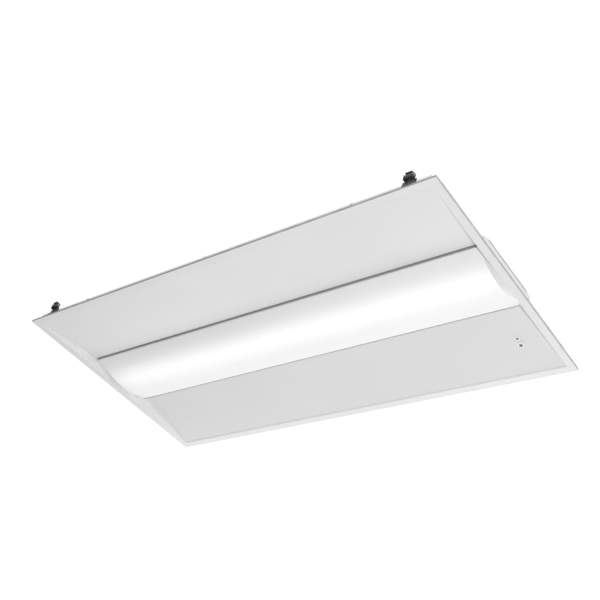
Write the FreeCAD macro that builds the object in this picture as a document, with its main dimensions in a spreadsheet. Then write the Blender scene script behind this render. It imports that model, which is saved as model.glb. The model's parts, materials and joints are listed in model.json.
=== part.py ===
import FreeCAD, Part
import math
import os
import re
import Sketcher

# A 2 x 4 ft recessed troffer light with a bowed centre lens, as it would come
# apart on a bench.  Frame: X along the long side, Y across, Z up into the
# ceiling, origin at the centre of the flange's underside.  Millimetres.

SIZES = {
    # outline and sheet metal
    "length": 1213, "width": 603, "sheet": 0.8, "flange": 18, "lip": 5,
    "wall_inset": 10, "wall_height": 24.5, "wall_stop": 18.5, "play": 0.1, "gap": 0.5,
    "wall_screw_drop": 3,
    # sloped side reflectors
    "panel_edge": 97, "panel_height": 28, "panel_leg": 6, "panel_hem": 6,
    # lens, its end caps and its rails
    "lens_half": 91.5, "lens_low": 1.2, "lens_edge": 25, "lens_wall": 2,
    "lens_leg": 7, "lens_length": 1148, "cap_length": 14, "cap_wall": 1.5,
    "rail_wall": 1, "rail_rise": 7.4, "rail_lip": 4.4, "rail_turn": 8.6, "seam_screw_rise": 6,
    # back pans and lamp channel; the shoulder is measured in from the pan's outer edge
    "pan_height": 33.8, "pan_leg": 6.4, "pan_shoulder": 28.6, "pan_return": 8.6, "pan_notch": 21,
    "channel_low": 29, "channel_wall": 43.5, "channel_top": 48, "channel_flat": 80,
    "end_tab": 14, "end_tab_trim": 6, "end_screw_inset": 7, "pan_screw_inset": 30,
    "channel_screw_y": 48,
    # light engine
    "tray_half": 76, "tray_length": 1130, "tray_height": 42.2, "tray_screw_inset": 9,
    "board_length": 540, "board_width": 24, "board_wall": 1.6, "board_gap": 12,
    "board_row": 38, "chips_per_board": 18, "chip_side": 3.5, "chip_height": 0.7,
    "plug_length": 12, "plug_width": 9, "plug_height": 6.5,
    # fasteners
    "screw_r": 1.5, "screw_hole_r": 1.65, "head_r": 3, "head_height": 1.8,
    "board_screw_r": 1.3, "board_head_r": 2.6, "board_head_height": 1.4, "screw_bite": 3,
    # hanger tabs; their x is measured in from the end of the light
    "tab_x": 66.5, "tab_y": 205, "tab_width": 24, "tab_foot": 22, "tab_rise": 9,
    "tab_wall": 1.2, "hanger_hole_r": 3.5,
    # driver box and its hinged cover
    "box_left": -250, "box_right": 330, "box_near": 102.6, "box_far": 224,
    "box_wall": 1, "box_height": 33.8, "box_lip": 14, "supply_r": 11.1,
    "supply_y": 150, "knockout_groove": 0.5, "knockout_inset": 32, "cover_wall": 1,
    "cover_gap": 0.3, "cover_skirt": 10, "box_screw_left": 6, "box_screw_right": 20,
    "box_screw_near": 24, "box_screw_far": 34,
    "hinge_x_left": -180, "hinge_x_right": 260, "hinge_reach": 4.5,
    "knuckle_r": 3.2, "knuckle_length": 20, "box_knuckle_length": 12,
    "pin_r": 1.5, "pin_play": 0.06, "pin_head_r": 2.4, "pin_head": 1.2,
    "cover_screw_x": 40, "cover_screw_r": 2, "cover_screw_hole_r": 2.7,
    "cover_screw_length": 8, "cover_head_r": 4.5, "cover_head": 2.8,
    # electrical units inside the box
    "driver_length": 240, "driver_width": 40, "driver_height": 27,
    "unit_length": 205, "unit_width": 54, "unit_height": 26, "unit_space": 8,
    "unit_inset": 15,
    "cell_r": 16, "cell_length": 46, "cell_count": 5, "cell_groove": 1, "battery_x": 70,
    "clip_body_x": 12, "clip_body_y": 128, "clip_body_length": 34, "clip_body_width": 26,
    "clip_body_height": 14, "ground_x": 200, "ground_y": 134, "ground_r": 4.5,
    # grommets and leads
    "led_grommet_x": 60, "led_grommet_r": 3.1, "led_bore_r": 2.45, "led_lip_r": 3.6,
    "test_grommet_x": 316, "test_grommet_y": 213, "grommet_r": 5.5,
    "grommet_bore_r": 3.3, "grommet_lip_r": 7.2, "grommet_lip": 1.2, "lead_r": 1.1,
    "lead_hole_r": 3.4, "lead_height": 39.4, "link_height": 37, "signal_r": 0.9,
    "pair_half": 1.3, "signal_half": 1.1, "link_half": 1.5, "wide_bend": 8, "small_bend": 6,
    "signal_bend": 3, "low_run": 6.6, "middle_run": 14.6, "high_run": 18.6, "signal_rise": 4,
    "drop_inset": 4, "drop_reach": 10, "signal_inset": 3, "feed_inset": 8, "feed_reach": 13.5,
    "battery_lead_inset": 9, "battery_reach": 22.5, "battery_end_inset": 4.5,
    # test push-button and charge indicator; their x is measured in from the light's end
    "test_x": 84.8, "test_y": 198, "indicator_y": 179.6,
    "switch_ring_r": 7.2, "switch_ring": 1.2, "switch_barrel_r": 5.7,
    "switch_depth": 11, "switch_crown": 1, "button_r": 4.4, "button_collar_r": 4.9,
    "button_play": 0.06, "button_stand": 1.6, "button_lift": 0.4, "button_collar": 2.2,
    "spring_r": 3, "spring_wire": 0.3, "spring_turns": 5,
    "nut_height": 2.4, "nut_r": 8.6, "nut_play": 0.05, "indicator_ring_r": 5,
    "indicator_barrel_r": 3.9, "indicator_depth": 9, "indicator_r": 3.1,
    "indicator_ball_r": 4, "indicator_nut_r": 6, "barrel_play": 0.15,
    # swinging grid clips on the long side walls; their x is measured in from the end
    "clip_x": 68.5, "clip_half": 16, "clip_wall": 1.2, "clip_low": 7.5,
    "clip_top": 42, "clip_foot_half": 9, "clip_foot": 8, "ear_half": 10.2,
    "ear_wall": 1.2, "ear_reach": 7, "ear_low": 29, "pivot_out": 4.9,
    "pivot_height": 36.5, "barrel_r": 3, "arm_half": 9.8, "blade_half": 8,
    "blade": 8.5, "blade_wall": 1.2, "toe": 2, "rivet_x": 9, "rivet_z": 13,
    "rivet_head": 1,
}

HALF_L = "(length / 2)"
HALF_W = "(width / 2)"
OPEN_X = "(length / 2 - flange)"
OPEN_Y = "(width / 2 - flange)"
WALL_Y = "(width / 2 - wall_inset)"
PAN_Y = "(width / 2 - wall_inset - sheet - play)"
CHANNEL_Y = "(panel_edge + sheet + gap)"
PAN_EDGE = "(panel_edge + 2 * sheet + gap + play)"
PAN_TOP = "(pan_height + sheet)"
LENS_TOP = "(lens_edge + lens_leg)"
RAIL_IN = "(lens_half + rail_wall)"
RAIL_OUT = "(panel_edge - play)"
SEAM_Z = "(lens_edge + rail_rise + seam_screw_rise)"
PAN_SHOULDER = "(width / 2 - wall_inset - sheet - play - pan_shoulder)"
CLIP_X = "(length / 2 - clip_x)"
TAB_X = "(length / 2 - tab_x)"
TEST_X = "(length / 2 - test_x)"
BOX_FLOOR = "(pan_height + sheet + play)"
BOX_TOP = "(pan_height + sheet + play + box_height)"
BOX_IN = "(pan_height + sheet + play + box_wall + play)"
HINGE_Y = "(box_far + hinge_reach)"
HINGE_Z = "(pan_height + sheet + play + box_height + cover_gap + cover_wall / 2)"
SLOPE = "((panel_height - sheet - play) / (width / 2 - flange - panel_edge))"
PIVOT_Y = "(width / 2 - wall_inset + pivot_out)"

doc = FreeCAD.newDocument("troffer_light")
sheet = doc.addObject("Spreadsheet::Sheet", "Sizes")
for row, (alias, number) in enumerate(SIZES.items(), start=1):
    sheet.set("A%d" % row, alias)
    sheet.set("B%d" % row, str(number))
    sheet.setAlias("B%d" % row, alias)
doc.recompute()
VALUE = {alias: float(sheet.get(alias)) for alias in SIZES}

NODES = []


def cells(text):
    """Turn size names in a formula into references to the sheet."""
    return re.sub(r"[a-z][a-z_]+", lambda m: "Sizes." + m[0] if m[0] in SIZES else m[0], str(text))


def bind(thing, path, text):
    thing.setExpression(path, cells(text))


def node(thing, label):
    """Register a finished sub-part under the name of its file."""
    thing.Label = label
    NODES.append(thing)
    return thing


# ---------------------------------------------------------------- sketch tools

def new_body(label, keep=True):
    body = doc.addObject("PartDesign::Body", label)
    if keep:
        node(body, label)
    return body


def new_sketch(body, name, role, middle):
    """A sketch on an origin plane of its body, shifted along the plane's normal."""
    sketch = body.newObject("Sketcher::SketchObject", name)
    plane = next(f for f in body.Origin.OriginFeatures if f.Role == role)
    sketch.AttachmentSupport = [(plane, "")]
    sketch.MapMode = "FlatFace"
    sign = "-" if role == "XZ_Plane" else ""
    bind(sketch, "AttachmentOffset.Base.z", "%s(%s)" % (sign, middle))
    return sketch


def fix_point(sketch, element, end, u, v):
    here = sketch.getPoint(element, end)
    for kind, start, value in (("DistanceX", here.x, u), ("DistanceY", here.y, v)):
        index = sketch.addConstraint(Sketcher.Constraint(kind, -1, 1, element, end, start))
        bind(sketch, "Constraints[%d]" % index, value)


def draw_polygon(sketch, points):
    """A closed outline whose corners each follow two formulas."""
    first = sketch.GeometryCount
    count = len(points)
    corners = [FreeCAD.Vector(math.cos(2 * math.pi * i / count), math.sin(2 * math.pi * i / count), 0)
               for i in range(count)]
    for i in range(count):
        sketch.addGeometry(Part.LineSegment(corners[i], corners[(i + 1) % count]))
    for i in range(count):
        following = first + (i + 1) % count
        sketch.addConstraint(Sketcher.Constraint("Coincident", first + i, 2, following, 1))
    for i, (u, v) in enumerate(points):
        fix_point(sketch, first + i, 1, u, v)


def draw_circles(sketch, centres, radius):
    for u, v in centres:
        element = sketch.addGeometry(Part.Circle(FreeCAD.Vector(0, 0, 0), FreeCAD.Vector(0, 0, 1), 1))
        fix_point(sketch, element, 3, u, v)
        index = sketch.addConstraint(Sketcher.Constraint("Radius", element, 1.0))
        bind(sketch, "Constraints[%d]" % index, radius)


def extrude(body, kind, name, sketch, depth):
    """A pad or pocket, half to each side of its sketch."""
    feature = body.newObject("PartDesign::" + kind, name)
    feature.Profile = sketch
    feature.SideType = "Symmetric"
    bind(feature, "Length", depth)
    body.Tip = feature
    return feature


def pad(body, name, role, points, middle, depth):
    sketch = new_sketch(body, name + "_outline", role, middle)
    draw_polygon(sketch, points)
    return extrude(body, "Pad", name, sketch, depth)


def cut(body, name, role, points, middle, depth):
    sketch = new_sketch(body, name + "_outline", role, middle)
    draw_polygon(sketch, points)
    return extrude(body, "Pocket", name, sketch, depth)


def disc(body, name, role, centres, radius, middle, depth):
    sketch = new_sketch(body, name + "_circles", role, middle)
    draw_circles(sketch, centres, radius)
    return extrude(body, "Pad", name, sketch, depth)


def drill(body, name, role, centres, radius, middle, depth):
    sketch = new_sketch(body, name + "_circles", role, middle)
    draw_circles(sketch, centres, radius)
    return extrude(body, "Pocket", name, sketch, depth)


def oblong(low_u, high_u, low_v, high_v):
    return [(low_u, low_v), (high_u, low_v), (high_u, high_v), (low_u, high_v)]


def turn_half(body):
    """Stand a piece on the opposite side of the lamp."""
    half_turn = FreeCAD.Rotation(FreeCAD.Vector(0, 0, 1), 180)
    body.Placement = FreeCAD.Placement(FreeCAD.Vector(0, 0, 0), half_turn)


# ------------------------------------------------------------- primitive tools

def box(name, low, size, label=None):
    """A block from its low corner and its size, each three formulas."""
    block = doc.addObject("Part::Box", name)
    for path, text in zip(("Length", "Width", "Height"), size):
        bind(block, path, text)
    for path, text in zip("xyz", low):
        bind(block, "Placement.Base." + path, text)
    return node(block, label) if label else block


AXIS_TURN = {
    "+Z": FreeCAD.Rotation(),
    "-Z": FreeCAD.Rotation(FreeCAD.Vector(1, 0, 0), 180),
    "+X": FreeCAD.Rotation(FreeCAD.Vector(0, 1, 0), 90),
    "-X": FreeCAD.Rotation(FreeCAD.Vector(0, 1, 0), -90),
    "+Y": FreeCAD.Rotation(FreeCAD.Vector(1, 0, 0), -90),
    "-Y": FreeCAD.Rotation(FreeCAD.Vector(1, 0, 0), 90),
}


def rod(name, start, way, radius, height):
    """A cylinder that leaves its start point along an axis."""
    piece = doc.addObject("Part::Cylinder", name)
    piece.Placement = FreeCAD.Placement(FreeCAD.Vector(0, 0, 0), AXIS_TURN[way])
    bind(piece, "Radius", radius)
    bind(piece, "Height", height)
    for path, text in zip("xyz", start):
        bind(piece, "Placement.Base." + path, text)
    return piece


def joined(name, shapes):
    fuse = doc.addObject("Part::MultiFuse", name)
    fuse.Shapes = shapes
    fuse.Refine = True
    return fuse


def minus(name, base, tool):
    difference = doc.addObject("Part::Cut", name)
    difference.Base = base
    difference.Tool = tool
    return difference


def group(label, solids):
    """Identical small pieces share one node as separate solids."""
    compound = doc.addObject("Part::Compound", label)
    compound.Links = solids
    return node(compound, label)


def against(start, way, amount):
    """The point a distance back along an axis."""
    sign = "-" if way[0] == "+" else "+"
    place = list(start)
    index = "XYZ".index(way[1])
    place[index] = "(%s %s (%s))" % (place[index], sign, amount)
    return place


def screw(name, seat, way, radius, length, head, head_height):
    """A screw whose head sits on its seat; the shank points along its way."""
    shank = rod(name + "_shank", seat, way, radius, length)
    cap = rod(name + "_head", against(seat, way, head_height), way, head, head_height)
    return joined(name, [shank, cap])


# ------------------------------------------------------ flange, walls and back

RIVET_HOLES = [("%s%s %s rivet_x" % (side, CLIP_X, sign), "rivet_z") for side in ("-", "") for sign in "+-"]
WALL_SCREWS = ("-length / 3", "0", "length / 3")
WALL_SCREW_Z = "(wall_height - wall_screw_drop)"
PAN_BEND = "(wall_height + sheet + (%s - %s) * (%s - wall_height - sheet) / pan_shoulder)" % (
    PAN_Y, OPEN_Y, PAN_TOP)
SEAM_SHARES = (-0.44, -0.15, 0.15, 0.44)
SEAM_SCREWS = ["length * %s" % share for share in SEAM_SHARES]


def side_rail(label):
    """Folded long side: outer lip, visible flange and side wall in one sheet."""
    body = new_body(label)
    pad(body, label + "_flange", "YZ_Plane",
        [(OPEN_Y, "0"), (HALF_W, "0"), (HALF_W, "lip"), (HALF_W + " - sheet", "lip"),
         (HALF_W + " - sheet", "sheet"), (OPEN_Y, "sheet")], "0", "length")
    for side, sign in (("right", ""), ("left", "-")):
        pad(body, label + "_end_lip_" + side, "XZ_Plane",
            oblong("%s(%s - sheet)" % (sign, HALF_L), sign + HALF_L, "0", "lip"),
            "(%s + %s) / 2" % (OPEN_Y, HALF_W), "flange")
    pad(body, label + "_wall", "YZ_Plane", oblong(WALL_Y + " - sheet", WALL_Y, "0", "wall_height"),
        "0", "length - 2 * wall_stop")
    drill(body, label + "_rivets", "XZ_Plane", RIVET_HOLES, "screw_hole_r", WALL_Y, "3 * sheet")
    drill(body, label + "_screws", "XZ_Plane", [(x, WALL_SCREW_Z) for x in WALL_SCREWS],
          "screw_hole_r", WALL_Y, "3 * sheet")
    return body


side_rail("side_rail_far")
turn_half(side_rail("side_rail_near"))


def mirror_points(points):
    """Carry a half outline on to the other side of the centre line."""
    return points + [("-(%s)" % u, v) for u, v in reversed(points)]


END_SCREWS_CHANNEL = ("-channel_screw_y", "channel_screw_y")
END_SCREWS_PAN = (PAN_SHOULDER + " - pan_screw_inset", "panel_edge + pan_screw_inset")
END_SCREW_X = "(length / 2 - flange - end_screw_inset)"


def end_plate(label):
    """Folded short side: lip, flange, tall end wall and the tabs over the back."""
    body = new_body(label)
    pad(body, label + "_wall", "YZ_Plane", mirror_points(
        [(OPEN_Y + " - play", "0"), (OPEN_Y + " - play", "sheet + play"), (PAN_Y, "sheet + play"),
         (PAN_Y, "wall_height / 2"), (OPEN_Y, PAN_BEND), (PAN_SHOULDER, PAN_TOP + " + play"),
         (CHANNEL_Y + " + sheet", PAN_TOP + " + play"), (CHANNEL_Y + " + sheet", "channel_wall"),
         ("channel_flat", "channel_top + play")]),
        OPEN_X + " + sheet / 2", "sheet")
    pad(body, label + "_flange", "XZ_Plane",
        [(OPEN_X, "0"), (HALF_L, "0"), (HALF_L, "lip"), (HALF_L + " - sheet", "lip"),
         (HALF_L + " - sheet", "sheet"), (OPEN_X, "sheet")], "0", "2 * (%s - play)" % OPEN_Y)
    pad(body, label + "_channel_tab", "XZ_Plane",
        oblong(OPEN_X + " - end_tab", OPEN_X + " + sheet", "channel_top + play",
               "channel_top + play + sheet"), "0", "2 * channel_flat")
    for side, sign in (("far", ""), ("near", "-")):
        middle = "%s(%s + %s) / 2" % (sign, PAN_SHOULDER, PAN_EDGE)
        pad(body, label + "_pan_tab_" + side, "XZ_Plane",
            oblong(OPEN_X + " - end_tab", OPEN_X + " + sheet", PAN_TOP + " + play",
                   PAN_TOP + " + play + sheet"), middle,
            "%s - %s - end_tab_trim" % (PAN_SHOULDER, PAN_EDGE))
    drill(body, label + "_channel_holes", "XY_Plane", [(END_SCREW_X, y) for y in END_SCREWS_CHANNEL],
          "screw_hole_r", "channel_top", "6 * sheet")
    drill(body, label + "_pan_holes", "XY_Plane",
          [(END_SCREW_X, sign + "(" + y + ")") for y in END_SCREWS_PAN for sign in ("", "-")],
          "screw_hole_r", PAN_TOP, "6 * sheet")
    return body


end_plate("end_plate_right")
turn_half(end_plate("end_plate_left"))

PAN_MITRE = "0.2 * sheet"
PAN_SECTION = [
    (PAN_Y, "wall_height - pan_leg"), (PAN_Y, "wall_height + sheet"), (PAN_SHOULDER, PAN_TOP),
    (PAN_EDGE + " + sheet", PAN_TOP), (PAN_EDGE + " + sheet", "pan_height + pan_return"),
    (PAN_EDGE, "pan_height + pan_return"), (PAN_EDGE, "pan_height"),
    (PAN_SHOULDER + " - " + PAN_MITRE, "pan_height"), (PAN_Y + " - sheet", "wall_height + " + PAN_MITRE),
    (PAN_Y + " - sheet", "wall_height - pan_leg")]


def back_pan(label):
    """Folded back sheet between a side wall and the lamp channel."""
    body = new_body(label)
    pad(body, label + "_sheet", "YZ_Plane", PAN_SECTION, "0", "2 * (%s - play)" % OPEN_X)
    for side, sign in (("right", ""), ("left", "-")):
        cut(body, label + "_notch_" + side, "XY_Plane",
            oblong("%s(%s - pan_notch)" % (sign, OPEN_X), "%s%s" % (sign, HALF_L), OPEN_Y, HALF_W),
            "wall_height", "2 * wall_height")
    drill(body, label + "_wall_holes", "XZ_Plane", [(x, WALL_SCREW_Z) for x in WALL_SCREWS],
          "screw_hole_r", PAN_Y, "4 * sheet")
    drill(body, label + "_seam_holes", "XZ_Plane", [(x, SEAM_Z) for x in SEAM_SCREWS],
          "screw_hole_r", PAN_EDGE, "4 * sheet")
    drill(body, label + "_end_holes", "XY_Plane",
          [(sign + END_SCREW_X, y) for y in END_SCREWS_PAN for sign in ("", "-")],
          "screw_hole_r", "pan_height", "4 * sheet")
    drill(body, label + "_tab_holes", "XY_Plane",
          [("%s(%s - tab_foot / 2)" % (sign, TAB_X), "tab_y") for sign in ("", "-")],
          "screw_hole_r", "pan_height", "4 * sheet")
    return body


BOX_SCREWS = [(x, y) for x in ("box_left + box_screw_left", "box_right - box_screw_right")
              for y in ("box_near + box_screw_near", "box_far - box_screw_far")]

far_pan = back_pan("back_pan_far")
drill(far_pan, "back_pan_far_grommet", "XY_Plane", [("test_grommet_x", "test_grommet_y")],
      "grommet_r", "pan_height", "4 * sheet")
drill(far_pan, "back_pan_far_box_holes", "XY_Plane", BOX_SCREWS, "screw_hole_r", "pan_height", "4 * sheet")
drill(far_pan, "back_pan_far_lead_hole", "XZ_Plane", [("led_grommet_x", "lead_height")],
      "led_grommet_r", PAN_EDGE, "4 * sheet")
turn_half(back_pan("back_pan_near"))

TRAY_SHARES = (-0.44, 0, 0.44)
TRAY_SCREWS = [("tray_length * %s" % share, y) for share in TRAY_SHARES
               for y in ("-tray_half + tray_screw_inset", "tray_half - tray_screw_inset")]

lamp_channel = new_body("lamp_channel")
CHANNEL_OUTSIDE = [(CHANNEL_Y, "channel_low"), (CHANNEL_Y + " + sheet", "channel_low"),
                   (CHANNEL_Y + " + sheet", "channel_wall"), ("channel_flat", "channel_top")]
CHANNEL_FLAT_IN = "(channel_flat - 0.4 * sheet)"
CHANNEL_BEND_IN = "channel_wall - 0.5 * sheet"
CHANNEL_INSIDE = [("-" + CHANNEL_Y, CHANNEL_BEND_IN), ("-" + CHANNEL_FLAT_IN, "channel_top - sheet"),
                  (CHANNEL_FLAT_IN, "channel_top - sheet"), (CHANNEL_Y, CHANNEL_BEND_IN)]
pad(lamp_channel, "channel_sheet", "YZ_Plane", mirror_points(CHANNEL_OUTSIDE) + CHANNEL_INSIDE,
    "0", "2 * (%s - play)" % OPEN_X)
drill(lamp_channel, "channel_tray_holes", "XY_Plane", TRAY_SCREWS, "screw_hole_r", "channel_top", "4 * sheet")
drill(lamp_channel, "channel_end_holes", "XY_Plane",
      [(sign + END_SCREW_X, y) for y in END_SCREWS_CHANNEL for sign in ("", "-")],
      "screw_hole_r", "channel_top", "4 * sheet")
for side, sign in (("far", ""), ("near", "-")):
    drill(lamp_channel, "channel_seam_" + side, "XZ_Plane", [(x, SEAM_Z) for x in SEAM_SCREWS],
          "screw_hole_r", sign + CHANNEL_Y, "4 * sheet")
drill(lamp_channel, "channel_lead_hole", "XZ_Plane", [("led_grommet_x", "lead_height")],
      "led_grommet_r", CHANNEL_Y, "4 * sheet")


# ------------------------------------------------- reflectors seen from below

PANEL_LOW = "(sheet + play)"
PANEL_SECTION = [
    (OPEN_Y + " + panel_hem", PANEL_LOW), (OPEN_Y, PANEL_LOW), ("panel_edge", "panel_height"),
    ("panel_edge", "panel_height + panel_leg"), ("panel_edge + sheet", "panel_height + panel_leg"),
    ("panel_edge + sheet", "panel_height + sheet * (1 - %s)" % SLOPE),
    (OPEN_Y, PANEL_LOW + " + sheet"), (OPEN_Y + " + panel_hem", PANEL_LOW + " + sheet")]


def side_reflector(label):
    """Sloped white sheet from the flange up to the lens, between the two end plates."""
    body = new_body(label)
    pad(body, label + "_sheet", "YZ_Plane", PANEL_SECTION, "0", "2 * (%s - play)" % OPEN_X)
    return body


far_reflector = side_reflector("side_reflector_far")
drill(far_reflector, "test_hole", "XY_Plane", [(TEST_X, "test_y")],
      "switch_barrel_r + barrel_play", "panel_height / 2", "2 * panel_height")
drill(far_reflector, "indicator_hole", "XY_Plane", [(TEST_X, "indicator_y")],
      "indicator_barrel_r + barrel_play", "panel_height / 2", "2 * panel_height")
turn_half(side_reflector("side_reflector_near"))


# ---------------------------------------------------------- lens and its rails

RAIL_TOP = "(lens_edge + rail_rise)"
LIP_Y = "(lens_half - lens_wall - gap)"
RAIL_SECTION = [
    (RAIL_IN, "lens_edge + gap"), (RAIL_IN + " + rail_wall", "lens_edge + gap"),
    (RAIL_IN + " + rail_wall", RAIL_TOP), (RAIL_OUT, RAIL_TOP), (RAIL_OUT, RAIL_TOP + " + rail_turn"),
    (RAIL_OUT + " - rail_wall", RAIL_TOP + " + rail_turn"),
    (RAIL_OUT + " - rail_wall", RAIL_TOP + " + rail_wall"),
    (LIP_Y + " - rail_wall", RAIL_TOP + " + rail_wall"), (LIP_Y + " - rail_wall", RAIL_TOP + " - rail_lip"),
    (LIP_Y, RAIL_TOP + " - rail_lip"), (LIP_Y, RAIL_TOP), (RAIL_IN, RAIL_TOP)]


def lens_rail(label):
    """Rolled rail: a downward groove that grips a lens leg, and a web to the channel."""
    body = new_body(label)
    pad(body, label + "_section", "YZ_Plane", RAIL_SECTION, "0",
        "lens_length + 2 * (cap_length - cap_wall - gap)")
    drill(body, label + "_seam_holes", "XZ_Plane", [(x, SEAM_Z) for x in SEAM_SCREWS],
          "screw_hole_r", RAIL_OUT, "4 * rail_wall")
    return body


far_rail = lens_rail("lens_rail_far")
drill(far_rail, "lens_rail_lead_hole", "XZ_Plane", [("led_grommet_x", "lead_height")],
      "lead_hole_r", RAIL_OUT, "3 * rail_wall")
turn_half(lens_rail("lens_rail_near"))

LENS_SAG = "(lens_edge - lens_low)"
BOW_R = "((lens_half ^ 2 + %s ^ 2) / (2 * %s))" % (LENS_SAG, LENS_SAG)


def draw_bow(sketch, shell):
    """The lens outline: a bowed arc with an upright leg at each edge, as a shell or filled."""
    half, wall = VALUE["lens_half"], VALUE["lens_wall"]
    edge, low = VALUE["lens_edge"], VALUE["lens_low"]
    top = edge + VALUE["lens_leg"]
    bow = (half ** 2 + (edge - low) ** 2) / (2 * (edge - low))
    centre = FreeCAD.Vector(0, low + bow, 0)
    point = FreeCAD.Vector

    def add_arc(reach, radius):
        tilt = math.asin(reach / radius)
        circle = Part.Circle(centre, point(0, 0, 1), radius)
        return sketch.addGeometry(Part.ArcOfCircle(circle, -math.pi / 2 - tilt, -math.pi / 2 + tilt))

    def add_line(start, end):
        return sketch.addGeometry(Part.LineSegment(start, end))

    def hold_arc(arc, radius):
        fix_point(sketch, arc, 3, "0", "lens_low + " + BOW_R)
        drawn = sketch.Geometry[arc].Radius
        index = sketch.addConstraint(Sketcher.Constraint("Radius", arc, drawn))
        bind(sketch, "Constraints[%d]" % index, radius)

    def meet(first, first_end, second, second_end):
        sketch.addConstraint(Sketcher.Constraint("Coincident", first, first_end, second, second_end))

    outer = add_arc(half, bow)
    right = add_line(point(half, edge, 0), point(half, top, 0))
    left = add_line(point(-half, top, 0), point(-half, edge, 0))
    meet(outer, 2, right, 1)
    meet(left, 2, outer, 1)
    hold_arc(outer, BOW_R)
    fix_point(sketch, right, 2, "lens_half", LENS_TOP)
    fix_point(sketch, left, 1, "-lens_half", LENS_TOP)
    sketch.addConstraint(Sketcher.Constraint("Vertical", right))
    sketch.addConstraint(Sketcher.Constraint("Vertical", left))
    if not shell:
        chord = add_line(point(half, top, 0), point(-half, top, 0))
        meet(right, 2, chord, 1)
        meet(chord, 2, left, 1)
        return
    within = half - wall
    seat = centre.y - math.sqrt((bow - wall) ** 2 - within ** 2)
    inner = add_arc(within, bow - wall)
    right_top = add_line(point(half, top, 0), point(within, top, 0))
    right_in = add_line(point(within, top, 0), point(within, seat, 0))
    left_in = add_line(point(-within, seat, 0), point(-within, top, 0))
    left_top = add_line(point(-within, top, 0), point(-half, top, 0))
    meet(right, 2, right_top, 1)
    meet(right_top, 2, right_in, 1)
    meet(right_in, 2, inner, 2)
    meet(inner, 1, left_in, 1)
    meet(left_in, 2, left_top, 1)
    meet(left_top, 2, left, 1)
    hold_arc(inner, BOW_R + " - lens_wall")
    fix_point(sketch, right_in, 1, "lens_half - lens_wall", LENS_TOP)
    fix_point(sketch, left_in, 2, "-(lens_half - lens_wall)", LENS_TOP)
    sketch.addConstraint(Sketcher.Constraint("Vertical", right_in))
    sketch.addConstraint(Sketcher.Constraint("Vertical", left_in))


def bowed(body, name, shell, middle, depth):
    sketch = new_sketch(body, name + "_outline", "YZ_Plane", middle)
    draw_bow(sketch, shell)
    return extrude(body, "Pad", name, sketch, depth)


lens = new_body("lens")
bowed(lens, "lens_shell", True, "0", "lens_length")


def lens_end_cap(label):
    """Opaque bowed cap that closes the lens in front of an end wall."""
    body = new_body(label)
    bowed(body, label + "_shell", True, "(lens_length + cap_length) / 2 + play", "cap_length")
    bowed(body, label + "_wall", False, "lens_length / 2 + play + cap_length - cap_wall / 2", "cap_wall")
    return body


lens_end_cap("lens_end_cap_right")
turn_half(lens_end_cap("lens_end_cap_left"))


# ---------------------------------------------------------------- light engine

BOARD_LOW = "(tray_height - board_wall)"
CHIP_PITCH = "(board_length / chips_per_board)"
BOARD_SCREW_X = ["(board_gap / 2 + %s * %s)" % (CHIP_PITCH, step)
                 for step in ("1", "floor(chips_per_board / 2)", "(chips_per_board - 1)")]
BOARD_ENDS = [(side_x, side_y) for side_x in ("", "-") for side_y in ("", "-")]
BOARD_SCREWS = [(a + x, b + "board_row") for a, b in BOARD_ENDS for x in BOARD_SCREW_X]

led_tray = new_body("led_tray")
TRAY_TOP = "(channel_top - sheet - play)"
pad(led_tray, "tray_sheet", "YZ_Plane", mirror_points(
    [("tray_half", "tray_height"), ("tray_half", TRAY_TOP), ("tray_half - sheet", TRAY_TOP),
     ("tray_half - sheet", "tray_height + sheet")]), "0", "tray_length")
drill(led_tray, "tray_holes", "XY_Plane", TRAY_SCREWS, "screw_hole_r", "tray_height", "4 * sheet")
drill(led_tray, "tray_board_holes", "XY_Plane", BOARD_SCREWS, "board_screw_r + play",
      "tray_height", "4 * sheet")

for number, (side_x, side_y) in enumerate(BOARD_ENDS, start=1):
    board = new_body("led_board_%d" % number)
    name = "board_%d" % number
    pad(board, name + "_sheet", "XY_Plane",
        oblong(side_x + "(board_gap / 2)", side_x + "(board_gap / 2 + board_length)",
               side_y + "(board_row - board_width / 2)", side_y + "(board_row + board_width / 2)"),
        BOARD_LOW + " + board_wall / 2", "board_wall")
    drill(board, name + "_holes", "XY_Plane", [(side_x + x, side_y + "board_row") for x in BOARD_SCREW_X],
          "board_screw_r + play", BOARD_LOW, "4 * board_wall")

chips = []
for side_x, side_y in BOARD_ENDS:
    for step in range(SIZES["chips_per_board"]):
        centre_x = "%s(board_gap / 2 + %s * (%d + 0.5))" % (side_x, CHIP_PITCH, step)
        chips.append(box("chip_%d" % (len(chips) + 1),
                         (centre_x + " - chip_side / 2", side_y + "board_row - chip_side / 2",
                          BOARD_LOW + " - chip_height"),
                         ("chip_side", "chip_side", "chip_height")))
group("led_chips", chips)

plugs = []
for side_x, side_y in BOARD_ENDS:
    centre_x = "%s(board_gap / 2 + %s / 2)" % (side_x, CHIP_PITCH)
    centre_y = side_y + "(board_row + (board_width - plug_width) / 2)"
    plugs.append(box("plug_%d" % (len(plugs) + 1),
                     (centre_x + " - plug_length / 2", centre_y + " - plug_width / 2",
                      BOARD_LOW + " - plug_height"),
                     ("plug_length", "plug_width", "plug_height")))
group("board_plugs", plugs)

group("board_screws", [
    screw("board_screw_%d" % index, (x, y, BOARD_LOW), "+Z", "board_screw_r", "board_wall + 4 * sheet",
          "board_head_r", "board_head_height")
    for index, (x, y) in enumerate(BOARD_SCREWS, start=1)])


# ------------------------------------------------------------------ driver box

HINGES = (("left", "hinge_x_left"), ("right", "hinge_x_right"))
SUPPLY_Z = BOX_FLOOR + " + box_height / 2"

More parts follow.
